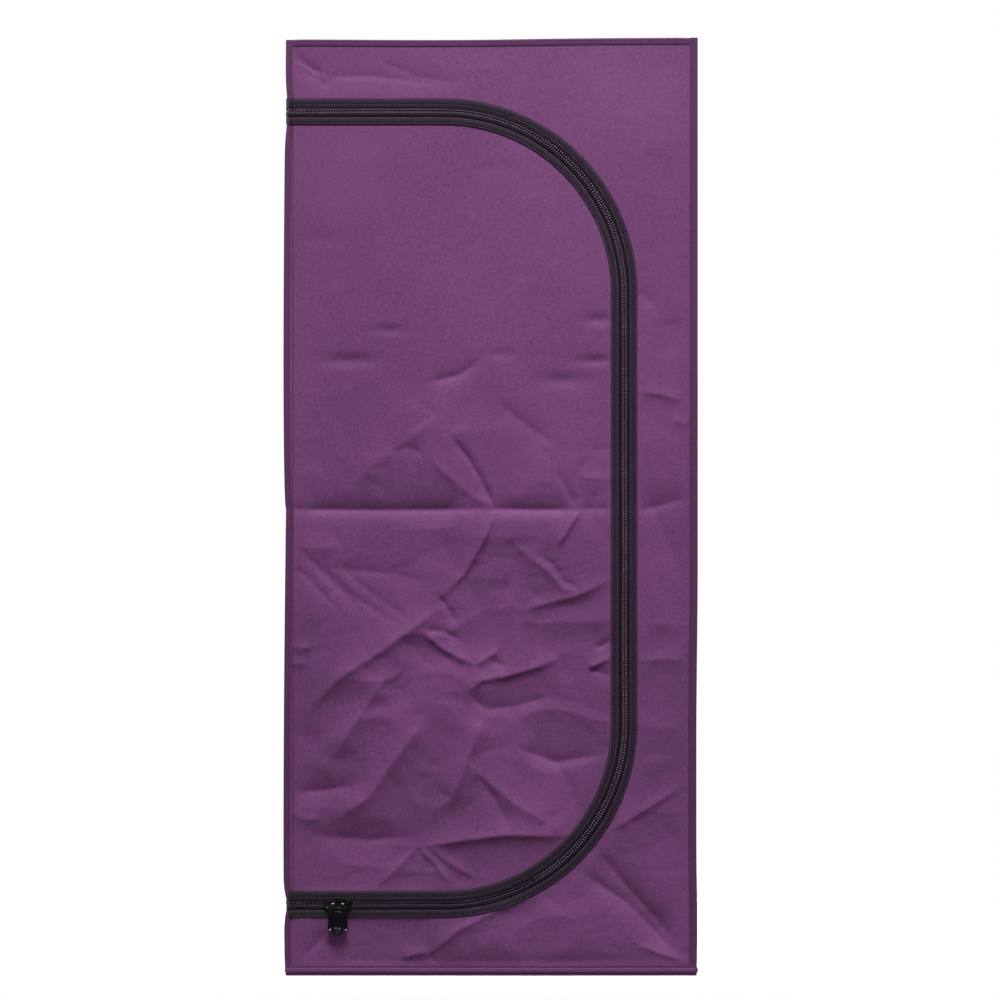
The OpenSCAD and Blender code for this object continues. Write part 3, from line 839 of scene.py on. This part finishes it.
def on_zip(s, n, height):
    """Points at distance s along the zip and n outwards from it, standing out from the front's skin."""
    x, z, nx, nz = zip_path(s)
    x, z = x + n * nx, z + n * nz
    past_edge = ease(0, 10 * MM, HINGE_X - x)
    over_binding = 2.3 * MM * ease(-4 * MM, 2 * MM, HINGE_X - x)
    wrap = 5.5 * MM * ease(HINGE_X - 5 * MM, -HALF_W + 1.2 * MM, x) * past_edge
    return on_face("front", x, z, front_relief(x, z) + over_binding - wrap + height)


def tape_part(s, side, drift=True):
    """The ribbon and inner tape of one side, as a closed band over the distances s."""
    profile = np.array(TAPE_SIDE) * MM
    n, h = profile.T
    shift = coil_drift(s)[:, None] * (n < OUTER_RIBBON)[None] * (n >= MM)[None] if drift else 0
    points = on_zip(s[:, None], side * n[None] + shift, h[None] + 0 * s[:, None])
    faces = grid_faces(len(s), len(n), closed=True)
    return points, faces if side > 0 else faces[:, ::-1], girth_uv(s, profile)


def tape_stitches(s0, s1, side):
    """Both rows of stitches on the ribbon of one side."""
    rows = []
    for n in STITCH_ROWS:
        s = np.arange(s0 + 3 * MM, s1 - 3 * MM, 4.4 * MM)
        here = on_zip(s, side * n * MM, 1.55 * MM)
        ahead = on_zip(s + 0.5 * MM, side * n * MM, 1.55 * MM)
        along = (ahead - here) / np.linalg.norm(ahead - here, axis=1, keepdims=True)
        rows.append(stitches(here, along, -Y, 2.4 * MM, 1.5 * MM, 0.75 * MM))
    return rows


def coil_teeth(s0, s1, side):
    """Slanted loops of the coil on one side, each a bent bar from the centre line outwards."""
    s = np.arange(s0, s1, COIL_PITCH) + (COIL_PITCH / 2 if side > 0 else 0)
    s = s[s < s1]
    arms = [(0.35, 2.1, 0.5), (0.7, 3.1, 0.95), (1.9, 3.9, 1.0),
            (3.5, 3.8, 1.0), (4.6, 2.9, 0.95), (5.2, 1.9, 0.5)]
    slant, wide, tall = 1.5 * MM, 1.05 * MM, 1.0 * MM
    rings = []
    for n, h, size in arms:
        lag = slant * (n / 5.2 - 0.5)
        ring = []
        for k in range(6):
            a = math.pi / 3 * k
            ds, dh = wide * size * math.cos(a), tall * size * math.sin(a)
            ring.append(on_zip(s + lag + ds, side * n * MM + coil_drift(s), h * MM + dh))
        rings.append(np.stack(ring, 1))
    points = np.stack(rings, 1)
    last = 6 * (len(arms) - 1)
    caps = np.array([[0, 1, 2, 3], [0, 3, 4, 5], [last + 3, last + 2, last + 1, last],
                     [last + 5, last + 4, last + 3, last]])
    one = np.concatenate([grid_faces(len(arms), 6, closed=True), caps])
    one = one if side < 0 else one[:, ::-1]
    count = 6 * len(arms)
    return points.reshape(-1, 3), repeated(one, len(s), count), np.zeros((len(s) * count, 2))


def make_zip():
    """Ribbon, thread and coil of both sides, and the door cloth's place baked into its mesh."""
    start, end = 0.6 * MM, ZIP_LEN - 0.6 * MM
    steps = even(start, end, 4 * MM)
    stubs = even(-TAPE_PAST, 1.5 * MM, MM), even(ZIP_LEN - 1.5 * MM, ZIP_LEN + TAPE_PAST, MM)
    for name, side in (("frame", 1), ("door", -1)):
        node = "zip_tape_" + name
        parts = [tape_part(steps, side)]
        short = 0 if side > 0 else COIL_START
        teeth = [coil_teeth(start + short, end - short, side)]
        if side > 0:
            parts += [tape_part(stub, way, drift=False) for stub in stubs for way in (1, -1)]
            teeth += [coil_teeth(a, b, way) for way, inner in ((-1, COIL_START), (1, 0))
                      for a, b in ((-COIL_PAST_LOW, inner), (ZIP_LEN - inner, ZIP_LEN + COIL_PAST_HIGH))]
        verts, faces, uv = joined(parts)
        tape = build(node + "_ribbon", verts, faces, [RIBBON, RIBBON_FADED, ZIP_CLOTH], uv,
                     zip_mats(faces, uv, side))
        sewn = joined(tape_stitches(start, end, side))
        thread = build(node + "_thread", sewn[0], sewn[1], THREAD_DARK)
        loops = joined(teeth)
        # painted shade: loops on the lower run take the darker copy of the coil colour
        lower = loops[0][loops[1]].mean(axis=1)[:, 2] < ZIP_LOW + 50 * MM
        coil = build("zip_coil_" + name + "_loops", loops[0], loops[1], [COIL, COIL_LOW_SHADED], face_mats=lower)
        for piece, kind in ((tape, "zip_tape"), (thread, "zip_tape"), (coil, "zip_coil")):
            if side > 0:
                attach(piece, "cabin")
            else:
                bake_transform(piece)
        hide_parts(node)
        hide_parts("zip_coil_" + name)
    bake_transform(cloths["door"])


def zip_mats(faces, uv, side):
    """Ribbon, faded ribbon near the sliders, or inner tape, by place across and along."""
    girth = uv[:, 1][faces].mean(axis=1)
    s = uv[:, 0][faces].mean(axis=1)
    inner = girth < 12.6 * MM
    faded = (side > 0) & (s < FADED_TO) & (s > FADED_FROM)
    return np.where(inner, 2, np.where(faded, 1, 0))


make_zip()


# ---------- solid detail helpers ----------

def finish_mesh(name, bm, mat, bevel=0.0):
    """A smooth-shaded object from a bmesh, with its sharp edges rounded by the bevel."""
    mesh = bpy.data.meshes.new(name)
    bmesh.ops.recalc_face_normals(bm, faces=bm.faces)
    bm.to_mesh(mesh)
    bm.free()
    mesh.materials.append(mat)
    mesh.polygons.foreach_set("use_smooth", np.ones(len(mesh.polygons), bool))
    obj = add_object(name, mesh)
    if bevel:
        edge = obj.modifiers.new("edges", "BEVEL")
        edge.width, edge.segments = bevel, 3
        edge.limit_method, edge.angle_limit = "ANGLE", math.radians(35)
        edge.harden_normals = True
    return obj


def prism(name, outline, y_front, y_back, mat, bevel=0.0, rim=0.0, sink=0.0):
    """An XZ outline given depth along Y. rim and sink recess the front face inside a raised border."""
    bm = bmesh.new()
    near = [bm.verts.new((x, y_front, z)) for x, z in outline]
    far = [bm.verts.new((x, y_back, z)) for x, z in outline]
    count = len(outline)
    for k in range(count):
        bm.faces.new((near[k], near[(k + 1) % count], far[(k + 1) % count], far[k]))
    bm.faces.new(list(reversed(far)))
    top = bm.faces.new(near)
    if rim:
        bm.normal_update()
        bmesh.ops.inset_region(bm, faces=[top], thickness=rim, depth=0)
        bmesh.ops.inset_region(bm, faces=[top], thickness=rim * 0.45, depth=0)
        bmesh.ops.translate(bm, verts=top.verts, vec=(0, sink, 0))
    return finish_mesh(name, bm, mat, bevel)


def ring(name, centre, axis, profile, mat, sides, bevel=0.0):
    """A profile of (along axis, radius) points turned round an axis through centre."""
    axis = Vector(axis).normalized()
    p = axis.orthogonal().normalized()
    q = axis.cross(p)
    bm = bmesh.new()
    rows = []
    for k in range(sides):
        a = 2 * math.pi * k / sides
        out = p * math.cos(a) + q * math.sin(a)
        rows.append([bm.verts.new(Vector(centre) + axis * t + out * r) for t, r in profile])
    for k in range(sides):
        here, there = rows[k], rows[(k + 1) % sides]
        for m in range(len(profile)):
            w = (m + 1) % len(profile)
            bm.faces.new((here[m], there[m], there[w], here[w]))
    return finish_mesh(name, bm, mat, bevel)


def rod(name, points, radius, mat):
    """A round bar along points, closed at both ends."""
    sides = 14
    points = [Vector(p) for p in points]
    bm = bmesh.new()
    rows = []
    for k, point in enumerate(points):
        ahead = (points[min(k + 1, len(points) - 1)] - points[max(k - 1, 0)]).normalized()
        side = ahead.cross(Vector((0, 0, 1))).normalized()
        up = side.cross(ahead)
        rows.append([bm.verts.new(point + (side * math.cos(a) + up * math.sin(a)) * radius)
                     for a in (2 * math.pi * j / sides for j in range(sides))])
    for here, there in zip(rows, rows[1:]):
        for j in range(sides):
            bm.faces.new((here[j], here[(j + 1) % sides], there[(j + 1) % sides], there[j]))
    bm.faces.new(rows[0])
    bm.faces.new(list(reversed(rows[-1])))
    return finish_mesh(name, bm, mat)


def dome(name, centre, normal, radius, height, mat):
    """A low round rivet head on a face."""
    steps = [math.pi / 2 * k / 5 for k in range(5)] + [math.pi / 2 * 0.96]
    profile = [(-height * 0.3, radius)] + [(height * math.sin(a), radius * math.cos(a)) for a in steps]
    profile += [(-height * 0.3, radius * 0.05)]
    return ring(name, centre, normal, profile, mat, 20)


def arc_points(cx, cz, radius, start, end, count):
    """Points of an arc in the XZ plane, angles in degrees."""
    return [(cx + radius * math.cos(math.radians(a)), cz + radius * math.sin(math.radians(a)))
            for a in np.linspace(start, end, count)]


# ---------- sliders and pull tabs ----------

def placed(side, outline):
    """An outline in mm from where the sliders meet, on side +1 or mirrored to -1, at the bar's height."""
    return [(MEET_X + side * x * MM, BAR_Z + z * MM) for x, z in (outline if side > 0 else reversed(outline))]


def hand_over(pieces, body):
    """Gives the pieces of a slider or tab to its body, the first in place of its CAD node."""
    for piece in pieces:
        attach(piece, body)
    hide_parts(body)


def make_slider(name, side):
    """One slider, head towards the other slider. Its outlines are in mm."""
    body = "slider_" + name
    x0, x1 = (SLIDER_BOX[0][0] - MEET_X) / MM, (SLIDER_BOX[1][0] - MEET_X) / MM
    half = (SLIDER_BOX[1][2] - SLIDER_BOX[0][2]) / 2 / MM
    back = SLIDER_BOX[1][1]
    plate_back, plate_front = SKIN_D + 5.1 * MM, SKIN_D + 7.1 * MM
    lower = [(x0, -3.2), (x0 + 1.0, -half + 1.2)]
    lower += arc_points(x0 + 4.0, -half + 3.0, 3.0, 215, 280, 5)
    lower += [(x1 - 10, -half + 1.0), (x1 - 4.5, -half + 3.0)]
    lower += arc_points(x1 - 3.2, -half + 6.4, 3.2, 290, 350, 5)
    outline = placed(side, lower + [(x, -z) for x, z in reversed(lower)])
    pieces = [prism(body + "_plate", outline, -plate_front, -plate_back, ENAMEL,
                    0.7 * MM, 1.6 * MM, 0.5 * MM)]
    for up, level in ((-1, "low"), (1, "high")):
        rail = [(x0 + 1.2, up * (half - 0.4)), (x1 - 6, up * (half - 1.4)), (x1 - 2, up * (half - 3.6)),
                (x1 - 2, up * (half - 4.6)), (x0 + 1.2, up * (half - 4.4))][::-up]
        pieces.append(prism(f"{body}_rail_{level}", placed(side, rail), -plate_back - 0.1 * MM, back,
                            ENAMEL, 0.4 * MM))
        rib = [(x1 - 8.5, up * 1.2), (x1 - 2.6, up * 3.4), (x1 - 2.8, up * 4.8), (x1 - 9.5, up * 2.8)][::up]
        pieces.append(prism(f"{body}_rib_{level}", placed(side, rib), -plate_front - 0.5 * MM,
                            -plate_front + 0.4 * MM, ENAMEL, 0.3 * MM))
    bar_x = MEET_X + side * (BAR_X - MEET_X)
    reach, rise = 5.3 * MM, BAR_Y + plate_front
    bow = [(bar_x - reach - 1.0 * MM, -plate_front + 0.6 * MM, BAR_Z),
           (bar_x - reach, -plate_front + 0.35 * rise, BAR_Z),
           (bar_x - reach + 0.6 * MM, -plate_front + 0.78 * rise, BAR_Z),
           (bar_x - reach + 2.0 * MM, BAR_Y, BAR_Z)]
    bow += [(2 * bar_x - x, y, z) for x, y, z in reversed(bow)]
    pieces.append(rod(body + "_bow", bow, 1.35 * MM, ENAMEL))
    hand_over(pieces, body)


def make_tab(name, side):
    """One pull tab: straight sides, a small outer lobe, and half of the long lobe that both share.
    Its outlines are in mm."""
    body = "tab_" + name
    inner, outer = (TAB_BOX[0][0] - MEET_X) / MM, (TAB_BOX[1][0] - MEET_X) / MM
    foot = (TAB_BOX[0][2] - BAR_Z) / MM
    top, shared, boss_r = -5.5, 10.2, 5.6
    lobe, lobe_z = 3.6, foot + 11.1
    thick = 1.2 * MM
    front_y = BAR_Y - thick
    outline = [(inner, top), (inner, foot + 0.1)]
    outline += arc_points(inner - 0.2, foot + shared, shared - 0.1, 275, 328, 8)
    outline += [(outer - 2.05 * lobe, lobe_z - 0.35 * lobe)]
    outline += arc_points(outer - lobe, lobe_z, lobe, 215, 360, 10)
    outline += [(outer - 0.2, lobe_z + 9), (outer - 0.7, top - 12), (outer - 2.0, top - 3),
                (outer - 4.6, top)]
    recess = [(inner + 0.1, top - 8), (inner + 0.1, lobe_z + 3.0), (inner + 6.6, lobe_z + 3.0),
              (inner + 6.6, top - 8)]
    boss = [(inner + 0.1, lobe_z + 2.0), (inner + 0.1, foot + shared - boss_r)]
    boss += arc_points(inner, foot + shared, boss_r, 275, 378, 9)
    boss = [point for point in boss if point[1] <= lobe_z + 2.2]
    eye_x = MEET_X + side * (BAR_X - MEET_X)
    bore, rim, half = 1.85 * MM, 3.95 * MM, 3.0 * MM
    chamfer = 0.6 * MM
    eye = [(-half, bore), (-half, rim - chamfer), (-half + chamfer, rim), (half - chamfer, rim),
           (half, rim - chamfer), (half, bore)]
    neck = [(eye_x + x * MM, BAR_Z + z * MM)
            for x, z in ((-2.6, -3.4), (-3.6, top - 1.2), (3.6, top - 1.2), (2.6, -3.4))]
    rivet = (MEET_X + side * (outer - lobe) * MM, front_y + 0.2 * MM, BAR_Z + lobe_z * MM)
    hand_over([
        prism(body + "_plate", placed(side, outline), front_y, BAR_Y + thick, ENAMEL, 0.45 * MM, 1.5 * MM,
              0.55 * MM),
        prism(body + "_panel", placed(side, recess), front_y - 0.25 * MM, BAR_Y, ENAMEL, 0.3 * MM, 0.9 * MM,
              0.6 * MM),
        prism(body + "_boss", placed(side, boss), front_y - 0.35 * MM, BAR_Y, BOSS, 0.4 * MM),
        dome(body + "_rivet", rivet, (0, -1, 0), 1.7 * MM, 0.9 * MM, RIVET),
        ring(body + "_eye", (eye_x, BAR_Y, BAR_Z), (1, 0, 0), eye, ENAMEL, 36, 0.2 * MM),
        prism(body + "_neck", neck, front_y + 0.1 * MM, BAR_Y + thick, ENAMEL, 0.4 * MM)], body)


for name, side in (("left", -1), ("right", 1)):
    make_slider(name, side)
    make_tab(name, side)


# ---------- frame, inlet and end stops: CAD shapes with their own finishes ----------

FINISHES = (("corner_", JOINT), ("sleeve_", JOINT), ("upright_", TUBE), ("rail_", TUBE),
            ("port_flange", PORT), ("port_inner", PORT), ("port_gasket", RUBBER), ("zip_stop", STOP))
for node, obj in frame["nodes"].items():
    for prefix, mat in FINISHES:
        if node.startswith(prefix):
            for slot in obj.material_slots:
                slot.material = mat


# ---------- floor, light and camera ----------

def make_stage():
    """The white floor, which gives back less light than the camera sees on it."""
    m = Maker("studio_floor", Specular_IOR_Level=0.1, Emission_Color=(1, 1, 1, 1), Emission_Strength=0.05)
    pale = m.mix(m.noise(2.0), (0.93, 0.93, 0.93, 1), (0.96, 0.96, 0.96, 1))
    m.set("Base Color", m.mix(m.node("LightPath").outputs["Is Camera Ray"], (0.2, 0.2, 0.2, 1), pale))
    m.set("Roughness", m.spread(m.noise(30), 0.85, 0.95))
    radius, behind, sides = 1.12, 0.36, 96
    bm = bmesh.new()
    turn = (2 * math.pi * k / sides for k in range(sides))
    bm.faces.new([bm.verts.new((radius * math.cos(a), behind + radius * math.sin(a), 0)) for a in turn])
    finish_mesh("studio_floor", bm, m.mat)


def area_light(name, place, target, size, power, spread):
    """A rectangular lamp at a place, turned to its target."""
    data = bpy.data.lights.new(name, "AREA")
    data.shape, data.size, data.size_y, data.energy = "RECTANGLE", size[0], size[1], power
    data.spread = math.radians(spread)
    lamp = add_object(name, data)
    lamp.location = place
    lamp.rotation_euler = (Vector(target) - Vector(place)).to_track_quat("-Z", "Y").to_euler()


def make_studio():
    """A white room that lights from above more than below, a high soft box in front, and lights behind."""
    world = bpy.data.worlds.new("studio")
    world.use_nodes = True
    tree = world.node_tree
    way = add_node(tree, "SeparateXYZ", {"Vector": add_node(tree, "TexCoord").outputs["Generated"]})
    rising = {"Value": way.outputs["Z"], "From Min": -0.35, "From Max": 0.85, "To Min": 0.03, "To Max": 0.34}
    height = add_node(tree, "MapRange", rising, interpolation_type="SMOOTHSTEP")
    seen = add_node(tree, "LightPath").outputs["Is Camera Ray"]
    strength = add_node(tree, "Mix", {0: seen, 2: height.outputs["Result"], 3: 1.0})
    background = tree.nodes["Background"]
    background.inputs["Color"].default_value = (1, 1, 1, 1)
    tree.links.new(strength.outputs[0], background.inputs["Strength"])
    bpy.context.scene.world = world
    bpy.context.scene.view_settings.view_transform = "Standard"
    area_light("key", (0.12, -3.0, 5.3), (0, -0.4, 1.00), (2.2, 1.8), 48, 60)
    area_light("back", (0.0, 2.5, 3.4), (0, 0.8, 0), (4.4, 1.6), 135, 150)
    for side in (-1, 1):
        area_light(f"side_{side}", (3.0 * side, 0.45, 2.7), (0.5 * side, 0.3, 0.7), (1.4, 1.6), 42, 150)


def make_camera():
    """Square on to the front, level with its middle, from far enough to flatten it as the photograph does."""
    frame_height, aim_x, aim_z, distance = 1.930, 0.0175, 0.918, 9.0
    data = bpy.data.cameras.new("camera")
    data.sensor_width = 36
    data.lens = data.sensor_width * distance / frame_height
    data.clip_end = 100
    camera = add_object("camera", data)
    camera.location = (aim_x, -HALF_D - distance, aim_z)
    camera.rotation_euler = (math.pi / 2, 0, 0)
    bpy.context.scene.camera = camera


make_stage()
make_studio()
make_camera()
